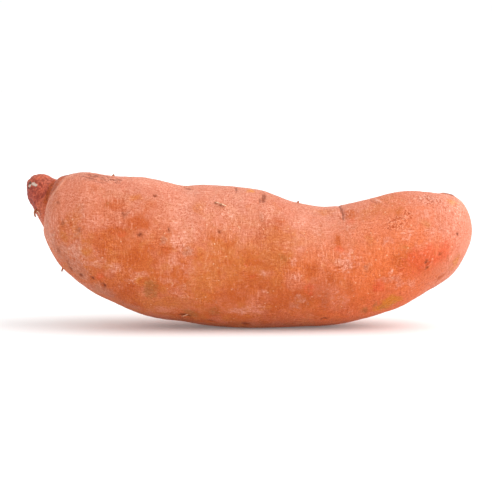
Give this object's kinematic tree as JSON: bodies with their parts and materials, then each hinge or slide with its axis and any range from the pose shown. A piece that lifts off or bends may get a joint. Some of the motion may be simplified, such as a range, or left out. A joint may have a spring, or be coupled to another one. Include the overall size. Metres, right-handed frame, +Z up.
{
  "type": "sweet potato",
  "caption": "Whole raw sweet potato: a plump, gently bent root with upturned ends, a short stem neck and a flattened belly that it rests on.",
  "frame": {"origin": "the middle of the root's bounding box in plan, on the surface that it rests on", "axes": "+X along the root's length from the stem neck to the blunt end, +Y towards the side that the neck leans to, +Z up"},
  "size_m": [0.1894, 0.061, 0.0665],
  "materials": {
    "skin": "thin dry root skin, orange-pink with a soft satin sheen, fine rings, pits and pale scuffs"
  },
  "bodies": {
    "root": {"sweet_potato": "skin"}
  },
  "joints": []
}
